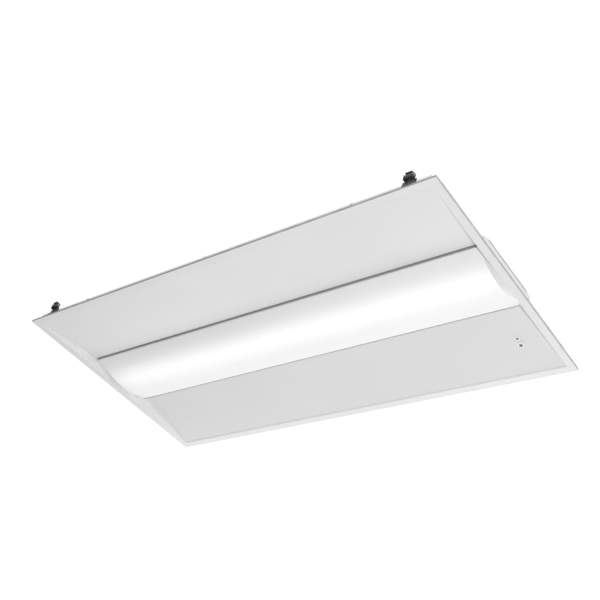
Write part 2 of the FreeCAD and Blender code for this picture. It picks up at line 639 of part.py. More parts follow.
driver_box = new_body("driver_box")
pad(driver_box, "box_block", "XY_Plane", oblong("box_left", "box_right", "box_near", "box_far"),
    BOX_FLOOR + " + box_height / 2", "box_height")
cut(driver_box, "box_hollow", "XY_Plane",
    oblong("box_left + box_wall", "box_right - box_wall", "box_near + box_wall", "box_far - box_wall"),
    BOX_FLOOR + " + box_wall + box_height / 2", "box_height")
pad(driver_box, "box_lip", "XY_Plane",
    oblong("box_left + box_wall", "box_right - box_wall", "box_near + box_wall", "box_near + box_lip"),
    BOX_TOP + " - box_wall / 2", "box_wall")
drill(driver_box, "box_floor_holes", "XY_Plane", BOX_SCREWS, "screw_hole_r", BOX_FLOOR, "4 * box_wall")
drill(driver_box, "box_test_grommet_hole", "XY_Plane", [("test_grommet_x", "test_grommet_y")],
      "grommet_r", BOX_FLOOR, "4 * box_wall")
drill(driver_box, "box_led_grommet_hole", "XZ_Plane", [("led_grommet_x", "lead_height")],
      "led_grommet_r", "box_near", "4 * box_wall")
drill(driver_box, "box_ground_hole", "XY_Plane", [("ground_x", "ground_y")], "screw_hole_r",
      BOX_FLOOR, "4 * box_wall")
drill(driver_box, "box_cover_hole", "XY_Plane", [("cover_screw_x", "box_near + box_lip / 2")],
      "cover_screw_hole_r", BOX_TOP, "4 * box_wall")
drill(driver_box, "supply_hole", "YZ_Plane", [("supply_y", SUPPLY_Z)], "supply_r", "box_right",
      "4 * box_wall")


def knockout(name, x, y):
    """A ring groove in the outer face, where a second entry can be punched out."""
    sketch = new_sketch(driver_box, name + "_rings", "YZ_Plane", x)
    draw_circles(sketch, [(y, SUPPLY_Z)], "supply_r")
    draw_circles(sketch, [(y, SUPPLY_Z)], "supply_r - knockout_groove")
    extrude(driver_box, "Pocket", name, sketch, "box_wall")


knockout("knockout_left", "box_left", "supply_y")
knockout("knockout_right", "box_right", "box_far - knockout_inset")
for side, hinge_x in HINGES:
    for end, sign in (("a", "-"), ("b", "+")):
        middle = "%s %s (knuckle_length + box_knuckle_length) / 2" % (hinge_x, sign)
        name = "box_knuckle_%s_%s" % (side, end)
        disc(driver_box, name, "YZ_Plane", [(HINGE_Y, HINGE_Z)], "knuckle_r", middle, "box_knuckle_length")
        pad(driver_box, name + "_strap", "YZ_Plane",
            oblong("box_far", HINGE_Y, HINGE_Z + " - knuckle_r", HINGE_Z + " - knuckle_r + box_wall"),
            middle, "box_knuckle_length")
    drill(driver_box, "box_knuckle_bore_" + side, "YZ_Plane", [(HINGE_Y, HINGE_Z)], "pin_r", hinge_x,
          "knuckle_length + 4 * box_knuckle_length")

COVER_LOW = "(%s - cover_wall / 2)" % HINGE_Z
SKIRT_Y = "(box_near - gap)"
driver_cover = new_body("driver_cover")
pad(driver_cover, "cover_plate", "YZ_Plane",
    [(SKIRT_Y + " - cover_wall", COVER_LOW + " + cover_wall"),
     (SKIRT_Y + " - cover_wall", COVER_LOW + " - cover_skirt"), (SKIRT_Y, COVER_LOW + " - cover_skirt"),
     (SKIRT_Y, COVER_LOW), ("box_far", COVER_LOW), ("box_far", COVER_LOW + " + cover_wall")],
    "(box_left + box_right) / 2", "box_right - box_left")
for side, hinge_x in HINGES:
    depth = "knuckle_length - 2 * gap"
    disc(driver_cover, "cover_knuckle_" + side, "YZ_Plane", [(HINGE_Y, HINGE_Z)], "knuckle_r", hinge_x, depth)
    pad(driver_cover, "cover_strap_" + side, "YZ_Plane",
        oblong("box_far - cover_wall", HINGE_Y, COVER_LOW, COVER_LOW + " + cover_wall"), hinge_x, depth)
    drill(driver_cover, "cover_bore_" + side, "YZ_Plane", [(HINGE_Y, HINGE_Z)], "pin_r + pin_play",
          hinge_x, "2 * knuckle_length")
drill(driver_cover, "cover_screw_hole", "XY_Plane", [("cover_screw_x", "box_near + box_lip / 2")],
      "cover_screw_r", COVER_LOW, "4 * cover_wall")


def headed_pin(name, middle, y, z, half):
    """A plain pin along X with a riveted head at each end."""
    shank = rod(name + "_shank", ("%s - (%s)" % (middle, half), y, z), "+X", "pin_r", "2 * (%s)" % half)
    heads = [rod(name + "_head_a", ("%s - (%s) - pin_head" % (middle, half), y, z), "+X",
                 "pin_head_r", "pin_head"),
             rod(name + "_head_b", ("%s + (%s)" % (middle, half), y, z), "+X", "pin_head_r", "pin_head")]
    return joined(name, [shank] + heads)


group("cover_hinge_pins", [
    headed_pin("hinge_pin_" + side, hinge_x, HINGE_Y, HINGE_Z, "knuckle_length / 2 + box_knuckle_length")
    for side, hinge_x in HINGES])

node(screw("cover_screw", ("cover_screw_x", "box_near + box_lip / 2", COVER_LOW + " + cover_wall"), "-Z",
           "cover_screw_r", "cover_screw_length", "cover_head_r", "cover_head"), "cover_screw")

UNIT_X = "(box_left + unit_inset)"
box("driver_case", (UNIT_X, "box_far - box_wall - unit_space - driver_width", BOX_IN),
    ("driver_length", "driver_width", "driver_height"), "led_driver")
box("unit_case", (UNIT_X, "box_near + box_wall + unit_space", BOX_IN),
    ("unit_length", "unit_width", "unit_height"), "emergency_unit")
BATTERY_Y = "(box_far - box_wall - unit_space - cell_r)"
BATTERY_Z = "(%s + cell_r)" % BOX_IN
cells_in_row = [rod("battery_core", ("battery_x", BATTERY_Y, BATTERY_Z), "+X", "cell_r - cell_groove",
                    "cell_length * cell_count")]
for step in range(SIZES["cell_count"]):
    cells_in_row.append(rod("cell_%d" % (step + 1),
                            ("battery_x + cell_length * %d + cell_groove" % step, BATTERY_Y, BATTERY_Z),
                            "+X", "cell_r", "cell_length - 2 * cell_groove"))
node(joined("battery_pack", cells_in_row), "battery_pack")
box("supply_block", ("clip_body_x", "clip_body_y", BOX_IN),
    ("clip_body_length", "clip_body_width", "clip_body_height"), "supply_connector")
node(screw("ground_screw", ("ground_x", "ground_y", BOX_FLOOR + " + box_wall"), "-Z", "screw_r",
           "box_wall", "ground_r", "head_height"), "ground_screw")


def grommet(name, start, way, height, neck_r, lip_r, bore_r):
    """Rubber ring that lines a lead's way through sheets; its neck runs from start."""
    rings = [rod(name + "_neck", start, way, neck_r, height),
             rod(name + "_first", against(start, way, "grommet_lip"), way, lip_r, "grommet_lip"),
             rod(name + "_second", against(start, way, "-(%s)" % height), way, lip_r, "grommet_lip")]
    bore = rod(name + "_bore", against(start, way, "2 * grommet_lip"), way, bore_r,
               "%s + 4 * grommet_lip" % height)
    return minus(name, joined(name + "_rings", rings), bore)


group("lead_grommets", [
    grommet("led_grommet", ("led_grommet_x", CHANNEL_Y, "lead_height"), "+Y",
            "(box_near + box_wall - %s)" % CHANNEL_Y, "led_grommet_r", "led_lip_r", "led_bore_r"),
    grommet("test_grommet", ("test_grommet_x", "test_grommet_y", "pan_height"), "+Z",
            "(%s + box_wall - pan_height)" % BOX_FLOOR, "grommet_r", "grommet_lip_r", "grommet_bore_r")])


# ------------------------------------- test push-button and charge indicator

def stand_on_reflector(thing, x, y):
    """Move a piece made about the Z axis on to the far reflector's visible face."""
    lean = FreeCAD.Rotation(FreeCAD.Vector(-1, 0, 0), 8)
    thing.Placement = FreeCAD.Placement(FreeCAD.Vector(0, 0, 0), lean)
    bind(thing, "Placement.Base.x", x)
    bind(thing, "Placement.Base.y", y)
    bind(thing, "Placement.Base.z", "%s + %s * (%s - %s)" % (PANEL_LOW, SLOPE, OPEN_Y, y))
    bind(thing, "Placement.Rotation.Angle", "atan(%s)" % SLOPE)


def axial(name, low, radius, height):
    """A cylinder about the Z axis."""
    return rod(name, ("0", "0", low), "+Z", radius, height)


def nut(label, corner_r, bore_r, x, y):
    """A hexagon nut on the reflector's hidden side."""
    prism = doc.addObject("Part::Prism", label + "_hexagon")
    prism.Polygon = 6
    bind(prism, "Circumradius", corner_r)
    bind(prism, "Height", "nut_height")
    bind(prism, "Placement.Base.z", "sheet")
    piece = minus(label, prism, axial(label + "_bore", "0", bore_r, "4 * nut_height"))
    stand_on_reflector(piece, x, y)
    return node(piece, label)


switch_shell = joined("switch_shell", [
    axial("switch_collar", "-switch_ring", "switch_ring_r", "switch_ring"),
    axial("switch_barrel", "-switch_ring", "switch_barrel_r", "switch_ring + switch_depth")])
switch_hollow = joined("switch_hollow", [
    axial("switch_mouth", "-2 * switch_ring", "button_r + button_play", "3 * switch_ring"),
    axial("switch_chamber", "0", "button_collar_r + button_play", "switch_depth - switch_crown")])
test_switch = minus("test_switch", switch_shell, switch_hollow)
stand_on_reflector(test_switch, TEST_X, "test_y")
node(test_switch, "test_switch_body")

COLLAR_TOP = "(button_lift + button_collar)"
test_button = joined("test_button_solid", [
    axial("button_cap", "-switch_ring - button_stand", "button_r",
          "switch_ring + button_stand + button_lift"),
    axial("button_collar_ring", "button_lift", "button_collar_r", "button_collar")])
stand_on_reflector(test_button, TEST_X, "test_y")
node(test_button, "test_button")

SPRING_SPAN = "(switch_depth - switch_crown - %s - 2 * spring_wire)" % COLLAR_TOP
coil = doc.addObject("Part::Helix", "spring_coil")
bind(coil, "Radius", "spring_r")
bind(coil, "Pitch", SPRING_SPAN + " / spring_turns")
bind(coil, "Height", SPRING_SPAN)
wire = doc.addObject("Part::Circle", "spring_wire_section")
wire.Placement = FreeCAD.Placement(FreeCAD.Vector(0, 0, 0), FreeCAD.Rotation(FreeCAD.Vector(1, 0, 0), 90))
bind(wire, "Radius", "spring_wire")
bind(wire, "Placement.Base.x", "spring_r")
for thing in (coil, wire):
    bind(thing, "Placement.Base.z", COLLAR_TOP + " + spring_wire")
spring = doc.addObject("Part::Sweep", "spring_sweep")
spring.Sections = [wire]
spring.Spine = (coil, [])
spring.Solid = True
spring.Frenet = True
stand_on_reflector(spring, TEST_X, "test_y")
node(spring, "test_spring")
nut("test_nut", "nut_r", "switch_barrel_r + nut_play", TEST_X, "test_y")

bezel = minus("bezel", joined("bezel_shell", [
    axial("bezel_collar", "-switch_ring", "indicator_ring_r", "switch_ring"),
    axial("bezel_barrel", "-switch_ring", "indicator_barrel_r", "switch_ring + indicator_depth")]),
    axial("bezel_bore", "-2 * switch_ring", "indicator_r", "switch_ring + indicator_depth"))
stand_on_reflector(bezel, TEST_X, "indicator_y")
node(bezel, "indicator_bezel")

ball = doc.addObject("Part::Sphere", "indicator_ball")
ball.Angle1 = -90
bind(ball, "Radius", "indicator_ball_r")
bind(ball, "Angle2", "-acos(indicator_r / indicator_ball_r)")
bind(ball, "Placement.Base.z", "-switch_ring + sqrt(indicator_ball_r ^ 2 - indicator_r ^ 2)")
jewel = joined("jewel", [ball, axial("jewel_stem", "-switch_ring", "indicator_r", "2 * switch_ring")])
stand_on_reflector(jewel, TEST_X, "indicator_y")
node(jewel, "indicator_lens")
nut("indicator_nut", "indicator_nut_r", "indicator_barrel_r + nut_play", TEST_X, "indicator_y")


# ------------------------------------------------------- swinging grid clips

PLATE_Y = "(%s + play + clip_wall / 2)" % WALL_Y
PLATE_OUT = "(%s + play + clip_wall)" % WALL_Y
EAR_OUT = "ear_half + ear_wall"
CORNERS = (("near", "-", "-"), ("near", "", "-"), ("far", "-", ""), ("far", "", ""))

pins = []
rivets = []
for number, (side, sign_x, sign_y) in enumerate(CORNERS, start=1):
    middle = sign_x + CLIP_X
    bracket = new_body("clip_bracket_%d" % number)
    name = "bracket_%d" % number
    pad(bracket, name + "_plate", "XZ_Plane",
        oblong("%s - clip_half" % middle, "%s + clip_half" % middle, "clip_low", "ear_low"),
        sign_y + PLATE_Y, "clip_wall")
    pad(bracket, name + "_neck", "XZ_Plane",
        oblong("%s - (%s)" % (middle, EAR_OUT), "%s + %s" % (middle, EAR_OUT), "ear_low", "clip_top"),
        sign_y + PLATE_Y, "clip_wall")
    pad(bracket, name + "_foot", "YZ_Plane",
        oblong("%s(%s - clip_wall)" % (sign_y, PLATE_OUT), "%s(%s + clip_foot)" % (sign_y, PLATE_OUT),
               "clip_low", "clip_low + clip_wall"), middle, "2 * clip_foot_half")
    for end, sign in (("left", "-"), ("right", "+")):
        pad(bracket, name + "_ear_" + end, "YZ_Plane",
            oblong("%s(%s - clip_wall)" % (sign_y, PLATE_OUT), "%s(%s + ear_reach)" % (sign_y, PLATE_OUT),
                   "ear_low", "clip_top"),
            "%s %s (ear_half + ear_wall / 2)" % (middle, sign), "ear_wall")
    drill(bracket, name + "_pin_holes", "YZ_Plane", [(sign_y + PIVOT_Y, "pivot_height")], "pin_r",
          middle, "2 * (%s) + 2 * ear_wall" % EAR_OUT)
    drill(bracket, name + "_rivet_holes", "XZ_Plane",
          [("%s %s rivet_x" % (middle, sign), "rivet_z") for sign in "+-"], "screw_hole_r",
          sign_y + PLATE_Y, "2 * clip_wall")

    arm = new_body("clip_arm_%d" % number)
    name = "arm_%d" % number
    outer = "%s(%s + barrel_r)" % (sign_y, PIVOT_Y)
    inner = "%s(%s + barrel_r - blade_wall)" % (sign_y, PIVOT_Y)
    disc(arm, name + "_barrel", "YZ_Plane", [(sign_y + PIVOT_Y, "pivot_height")], "barrel_r",
         middle, "2 * arm_half")
    pad(arm, name + "_blade", "YZ_Plane", oblong(inner, outer, "pivot_height", "pivot_height + blade"),
        middle, "2 * blade_half")
    pad(arm, name + "_toe", "YZ_Plane",
        oblong(inner, "%s(%s + barrel_r + toe)" % (sign_y, PIVOT_Y),
               "pivot_height + blade - blade_wall", "pivot_height + blade"), middle, "2 * blade_half")
    drill(arm, name + "_bore", "YZ_Plane", [(sign_y + PIVOT_Y, "pivot_height")], "pin_r + pin_play",
          middle, "4 * arm_half")

    pins.append(headed_pin("clip_pin_%d" % number, middle, sign_y + PIVOT_Y, "pivot_height", EAR_OUT))
    way = "+Y" if sign_y else "-Y"
    for end, sign in (("a", "-"), ("b", "+")):
        name = "rivet_%d_%s" % (number, end)
        seat = ("%s %s rivet_x" % (middle, sign), sign_y + PLATE_OUT, "rivet_z")
        tail = ("%s %s rivet_x" % (middle, sign), "%s(%s - sheet)" % (sign_y, WALL_Y), "rivet_z")
        rivets.append(joined(name, [
            screw(name + "_body", seat, way, "screw_r", "clip_wall + play + sheet", "head_r", "rivet_head"),
            rod(name + "_tail", tail, way, "head_r", "rivet_head")]))
group("clip_pins", pins)
group("clip_rivets", rivets)


# ------------------------------------------------- hanger tabs and all screws

tabs = []
for number, (side, sign_x, sign_y) in enumerate(CORNERS, start=1):
    name = "tab_%d" % number
    low_y = "%stab_y - tab_width / 2" % sign_y
    seat_z = PAN_TOP + " + play"
    spans = (("foot", TAB_X + " - tab_foot", TAB_X, seat_z, "tab_wall"),
             ("riser", TAB_X + " - tab_wall", TAB_X, seat_z, "tab_rise + tab_wall"),
             ("shelf", TAB_X + " - tab_wall", TAB_X + " + tab_foot", seat_z + " + tab_rise", "tab_wall"))
    plates = []
    for part_name, low_x, high_x, low_z, height in spans:
        corner = "-(%s)" % high_x if sign_x else low_x
        plates.append(box("%s_%s" % (name, part_name), (corner, low_y, low_z),
                          ("%s - (%s)" % (high_x, low_x), "tab_width", height)))
    hanger_x, screw_x = ["%s(%s %s tab_foot / 2)" % (sign_x, TAB_X, sign) for sign in "+-"]
    holes = [rod(name + "_hanger_hole", (hanger_x, sign_y + "tab_y", seat_z), "+Z", "hanger_hole_r",
                 "2 * tab_rise"),
             rod(name + "_screw_hole", (screw_x, sign_y + "tab_y", "pan_height"), "+Z", "screw_hole_r",
                 "tab_rise")]
    tabs.append(minus(name, joined(name + "_plates", plates), joined(name + "_holes", holes)))
group("hanger_tabs", tabs)

PAN_SEAT = "(%s + play + sheet)" % PAN_TOP
SCREWS = []
for sign_y, way in (("", "-Y"), ("-", "+Y")):
    for x in WALL_SCREWS:
        SCREWS.append(((x, sign_y + WALL_Y, WALL_SCREW_Z), way, "2 * sheet + play + screw_bite"))
    for x in SEAM_SCREWS:
        SCREWS.append(((x, "%s(%s + sheet)" % (sign_y, PAN_EDGE), SEAM_Z), way,
                       "%s + sheet - %s + rail_wall + screw_bite" % (PAN_EDGE, RAIL_OUT)))
for sign_x in ("", "-"):
    for y in END_SCREWS_CHANNEL:
        SCREWS.append(((sign_x + END_SCREW_X, y, "channel_top + play + sheet"), "-Z",
                       "2 * sheet + play + screw_bite"))
    for y in END_SCREWS_PAN:
        for sign_y in ("", "-"):
            SCREWS.append(((sign_x + END_SCREW_X, "%s(%s)" % (sign_y, y), PAN_SEAT), "-Z",
                           "2 * sheet + play + screw_bite"))
    for sign_y in ("", "-"):
        SCREWS.append((("%s(%s - tab_foot / 2)" % (sign_x, TAB_X), sign_y + "tab_y",
                        PAN_TOP + " + play + tab_wall"), "-Z", "tab_wall + play + sheet + screw_bite"))
for x, y in TRAY_SCREWS:
    SCREWS.append(((x, y, "channel_top"), "-Z", "channel_top - tray_height + screw_bite"))
for x, y in BOX_SCREWS:
    SCREWS.append(((x, y, BOX_FLOOR + " + box_wall"), "-Z", "box_wall + play + sheet + screw_bite"))
group("housing_screws", [
    screw("housing_screw_%d" % number, seat, way, "screw_r", length, "head_r", "head_height")
    for number, (seat, way, length) in enumerate(SCREWS, start=1)])


# ----------------------------------------------------------------------- leads

LINKS = []
plug_x = "(board_gap / 2 + %s / 2)" % CHIP_PITCH
plug_y = "(board_row + (board_width - plug_width) / 2)"
for sign in "+-":
    for side_y in ("", "-"):
        LINKS.append((("-(%s - plug_length / 2)" % plug_x, "%s%s %s link_half" % (side_y, plug_y, sign),
                       "link_height"), "+X", "2 * %s - plug_length" % plug_x))
    LINKS.append((("%s %s link_half" % (plug_x, sign), "-(%s - plug_width / 2)" % plug_y, "link_height"),
                  "+Y", "2 * %s - plug_width" % plug_y))
group("link_leads", [rod("link_lead_%d" % number, start, way, "lead_r", length)
                     for number, (start, way, length) in enumerate(LINKS, start=1)])


def lead(name, radius, corners, bends):
    """One insulated lead: straight runs joined by tangent arcs, swept in one piece."""
    points = [FreeCAD.Vector(*corner) for corner in corners]
    edges = []
    length = 0.0
    here = points[0]
    for before, corner, after, bend in zip(points, points[1:], points[2:], bends):
        inward = (before - corner).normalize()
        outward = (after - corner).normalize()
        half = inward.getAngle(outward) / 2
        back = bend / math.tan(half)
        start, end = corner + inward * back, corner + outward * back
        bisector = (inward + outward).normalize()
        middle = corner + bisector * (bend / math.sin(half) - bend)
        if (start - here).dot(inward) > -0.01:
            raise SystemExit("lead %s has no straight run before %s" % (name, corner))
        edges.append(Part.LineSegment(here, start).toShape())
        edges.append(Part.Arc(start, middle, end).toShape())
        length += (start - here).Length + bend * (math.pi - 2 * half)
        here = end
    edges.append(Part.LineSegment(here, points[-1]).toShape())
    length += (points[-1] - here).Length
    path = Part.Wire(edges)
    first = (points[1] - points[0]).normalize()
    section = Part.Wire([Part.Circle(points[0], first, radius).toShape()])
    solid = path.makePipeShell([section], True, False)
    expected = math.pi * radius ** 2 * length
    print("lead %s length %.1f volume %.1f of %.1f bends %s" % (name, length, solid.Volume, expected, bends))
    if abs(solid.Volume - expected) > 0.01 * expected:
        raise SystemExit("lead %s has a wrong volume" % name)
    feature = doc.addObject("Part::Feature", name)
    feature.Shape = solid
    return feature


slope = (VALUE["panel_height"] - VALUE["sheet"] - VALUE["play"]) / (
    VALUE["width"] / 2 - VALUE["flange"] - VALUE["panel_edge"])
tilt = math.atan(slope)
box_in = VALUE["pan_height"] + VALUE["sheet"] + 2 * VALUE["play"] + VALUE["box_wall"]
unit_end = VALUE["box_left"] + VALUE["unit_inset"] + VALUE["unit_length"]
driver_end = VALUE["box_left"] + VALUE["unit_inset"] + VALUE["driver_length"]
driver_near = VALUE["box_far"] - VALUE["box_wall"] - VALUE["unit_space"] - VALUE["driver_width"]
unit_far = VALUE["box_near"] + VALUE["box_wall"] + VALUE["unit_space"] + VALUE["unit_width"]
battery_near = VALUE["box_far"] - VALUE["box_wall"] - VALUE["unit_space"] - 2 * VALUE["cell_r"]
low_run, middle_run, high_run = [box_in + VALUE[name] for name in ("low_run", "middle_run", "high_run")]
pair = (-VALUE["pair_half"], VALUE["pair_half"])
signal_pair = (-VALUE["signal_half"], VALUE["signal_half"])

plug_end = (VALUE["board_gap"] + VALUE["board_length"] / VALUE["chips_per_board"] + VALUE["plug_length"]) / 2
plug_middle = VALUE["board_row"] + (VALUE["board_width"] - VALUE["plug_width"]) / 2
level, link_level = VALUE["lead_height"], VALUE["link_height"]
drop_y = VALUE["panel_edge"] - VALUE["drop_inset"]
led_leads = []
for number, offset in enumerate(pair, start=1):
    x = VALUE["led_grommet_x"] + offset
    y = driver_near + VALUE["driver_width"] / 2 + offset
    turn = plug_middle - offset
    led_leads.append(lead("led_lead_%d" % number, VALUE["lead_r"], [
        (driver_end, y, level), (x, y, level), (x, drop_y, level),
        (x, drop_y - VALUE["drop_reach"], link_level), (x, turn, link_level),
        (plug_end, turn, link_level)], [VALUE["wide_bend"]] * 4))
group("led_leads", led_leads)


def reflector_face(y):
    """Height of the far reflector's visible face."""
    return VALUE["sheet"] + VALUE["play"] + slope * (VALUE["width"] / 2 - VALUE["flange"] - y)


SPREAD = 1.6
switch_top = reflector_face(VALUE["test_y"]) + VALUE["switch_depth"] * math.cos(tilt)
test_leads = []
for name, centre_y, depth, offset_x in (
        ("switch", VALUE["test_y"], VALUE["switch_depth"], VALUE["signal_half"]),
        ("indicator", VALUE["indicator_y"], VALUE["indicator_depth"], -VALUE["signal_half"])):
    for number, offset in enumerate(signal_pair, start=1):
        start = (VALUE["length"] / 2 - VALUE["test_x"] + SPREAD * offset, centre_y + depth * math.sin(tilt),
                 reflector_face(centre_y) + depth * math.cos(tilt))
        run = switch_top + VALUE["signal_rise"] + VALUE["signal_half"] + offset
        top = (start[0], start[1] + (run - start[2]) * math.tan(tilt), run)
        x = VALUE["test_grommet_x"] + offset_x
        y = VALUE["test_grommet_y"] - offset
        roof = high_run - offset
        end_y = unit_far - VALUE["signal_inset"] - offset_x
        test_leads.append(lead("%s_lead_%d" % (name, number), VALUE["signal_r"], [
            start, top, (x, top[1], run), (x, y, run), (x, y, roof), (x, end_y, roof),
            (unit_end, end_y, roof)], [VALUE["signal_bend"]] * 5))
group("test_leads", test_leads)

clip_end = VALUE["clip_body_x"]
SUPPLY_SHARES = (0.2, 0.5, 0.8)
power_leads = []
for number, share in enumerate(SUPPLY_SHARES, start=1):
    y = VALUE["clip_body_y"] + share * VALUE["clip_body_width"]
    power_leads.append(lead("supply_lead_%d" % number, VALUE["lead_r"],
                            [(unit_end, y, low_run), (clip_end, y, low_run)], []))
for number, offset in enumerate(pair, start=1):
    y = unit_far - VALUE["feed_inset"] - offset
    x = unit_end + VALUE["feed_reach"] + offset
    power_leads.append(lead("feed_lead_%d" % number, VALUE["lead_r"], [
        (unit_end, y, low_run), (x, y, low_run), (x, driver_near, low_run)], [VALUE["small_bend"]]))
group("power_leads", power_leads)

battery_leads = []
for number, offset in enumerate(pair, start=1):
    y = battery_near + VALUE["battery_lead_inset"] + offset
    x = VALUE["battery_x"] - VALUE["battery_reach"] - offset
    turn = unit_far - VALUE["battery_end_inset"] + offset
    battery_leads.append(lead("battery_lead_%d" % number, VALUE["lead_r"], [
        (VALUE["battery_x"], y, middle_run), (x, y, middle_run), (x, turn, middle_run),
        (unit_end, turn, middle_run)], [VALUE["small_bend"]] * 2))
group("battery_leads", battery_leads)


# ------------------------------------------------------------ checks and export

FILE_LIMIT = 60
doc.recompute()
faults = []
for thing in doc.Objects:
    if "Invalid" in thing.State or "Error" in thing.State:
        faults.append("%s is in state %s" % (thing.Label, thing.State))
for piece in NODES:
    if piece.Shape.isNull():
        faults.append("%s is empty" % piece.Label)
    elif not piece.Shape.isValid():
        faults.append("%s is not valid" % piece.Label)
if len(NODES) > FILE_LIMIT:
    faults.append("%d sub-parts are too many files" % len(NODES))
if faults:
    raise SystemExit("\n".join(faults))

os.makedirs("parts", exist_ok=True)
for piece in NODES:
    piece.Shape.exportStep("parts/%s.step" % piece.Label)
    print("%s solids %d volume %.1f" % (piece.Label, len(piece.Shape.Solids), piece.Shape.Volume))
print("%d files written" % len(NODES))
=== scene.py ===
import json
import math
import bmesh
import bpy
from mathutils import Matrix, Vector


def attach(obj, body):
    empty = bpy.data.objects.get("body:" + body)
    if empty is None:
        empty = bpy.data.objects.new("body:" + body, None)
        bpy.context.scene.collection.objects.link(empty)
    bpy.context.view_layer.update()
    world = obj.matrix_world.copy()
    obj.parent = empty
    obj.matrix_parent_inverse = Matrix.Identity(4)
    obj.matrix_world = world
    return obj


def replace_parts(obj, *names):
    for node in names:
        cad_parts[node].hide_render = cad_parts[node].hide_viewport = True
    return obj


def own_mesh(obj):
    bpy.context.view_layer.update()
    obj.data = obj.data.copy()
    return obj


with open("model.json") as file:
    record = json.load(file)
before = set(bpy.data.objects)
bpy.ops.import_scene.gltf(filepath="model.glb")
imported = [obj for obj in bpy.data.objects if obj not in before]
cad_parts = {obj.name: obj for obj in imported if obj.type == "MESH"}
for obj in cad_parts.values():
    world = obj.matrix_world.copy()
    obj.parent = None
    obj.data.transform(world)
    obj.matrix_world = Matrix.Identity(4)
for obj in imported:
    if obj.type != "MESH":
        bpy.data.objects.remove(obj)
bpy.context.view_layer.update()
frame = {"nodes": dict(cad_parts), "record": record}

scene = bpy.context.scene
NODES = frame["nodes"]
SLOT_OF = {part["node"]: part["material_slot"] for part in frame["record"]["subparts"]}
BODY_OF = {node: body for body, content in frame["record"]["behaviour"]["bodies"].items()
           for node in content}


# ------------------------------------------------- places read off the CAD, in metres

LIP_SIDE = 0.3009       # the lip's outer faces lie beyond these distances from the middle
LIP_END = 0.6060
PLATE_CREST = 0.0458    # the end plates' top bend begins at this height
LENS_WIDTH = 0.183
LENS_LENGTH = 1.148
BUTTON_AXIS = Vector((0, 0.1438, 0.98961))    # the way the button is pressed
BUTTON_INLAY = 0.0041   # the dark inlay's radius

# Gear inside the wiring box, in millimetres: lowest and highest corner.
DRIVER = ((-235, 175, 35.8), (5, 215, 62.8))
UNIT = ((-235, 111.6, 35.8), (-30, 165.6, 61.8))
BATTERY = ((70, 183, 35.8), (300, 215, 67.8))


# ---------------------------------------------------------------------- node helpers

class Tree:
    """A material's or world's nodes, added one by one in code."""

    def __init__(self, tree):
        self.nodes, self.links = tree.nodes, tree.links
        self.nodes.clear()

    def set(self, socket, value):
        if isinstance(value, bpy.types.NodeSocket):
            self.links.new(value, socket)
        else:
            socket.default_value = value

    def add(self, kind, settings=None, **inputs):
        """Add a node; an input is named, or i0, i1, i2 by its number."""
        node = self.nodes.new(kind)
        for key, value in (settings or {}).items():
            setattr(node, key, value)
        for key, value in inputs.items():
            numbered = key[0] == "i" and key[1:].isdigit()
            self.set(node.inputs[int(key[1:]) if numbered else key.replace("_", " ")], value)
        return node

    def math(self, operation, a, b=0.0, clamp=False):
        settings = {"operation": operation, "use_clamp": clamp}
        return self.add("ShaderNodeMath", settings, i0=a, i1=b).outputs[0]

    def scaled(self, value, factor, offset):
        settings = {"operation": "MULTIPLY_ADD"}
        return self.add("ShaderNodeMath", settings, i0=value, i1=factor, i2=offset).outputs[0]

    def mix(self, factor, a, b):
        node = self.add("ShaderNodeMix", {"data_type": "RGBA"})
        for index, value in ((0, factor), (6, a), (7, b)):
            self.set(node.inputs[index], value)
        return node.outputs[2]

    def ramp(self, factor, stops, interpolation="LINEAR"):
        node = self.add("ShaderNodeValToRGB", Fac=factor)
        band = node.color_ramp
        band.interpolation = interpolation
        while len(band.elements) < len(stops):
            band.elements.new(0.5)
        for element, (place, level) in zip(band.elements, stops):
            element.position = place
            element.color = grey(level)
        return node.outputs[0]


def rgb(red, green, blue):
    return (red, green, blue, 1)


def grey(level):
    return (level, level, level, 1)


def darker(colour, share):
    return tuple(channel * share for channel in colour[:3]) + (1,)


def new_material(name):
    material = bpy.data.materials.new(name)
    material.use_nodes = True
    tree = Tree(material.node_tree)
    place = tree.add("ShaderNodeTexCoord").outputs["Object"]
    shader = tree.add("ShaderNodeBsdfPrincipled")
    tree.add("ShaderNodeOutputMaterial", Surface=shader.outputs[0])
    return material, tree, place, shader


def noise(tree, place, scale, detail=2.0, rough=0.5):
    """Noise with its scale in cells per metre."""
    node = tree.add("ShaderNodeTexNoise", Vector=place, Scale=scale, Detail=detail,
                    Roughness=rough)
    return node.outputs[0]


def bump(tree, shader, height, distance, strength=0.5):
    """Bump of a height in metres."""
    node = tree.add("ShaderNodeBump", Height=height, Distance=distance, Strength=strength)
    tree.links.new(node.outputs[0], shader.inputs["Normal"])


def stretched(tree, place, scale):
    return tree.add("ShaderNodeMapping", Vector=place, Scale=scale).outputs[0]


# ------------------------------------------------------------------------- materials

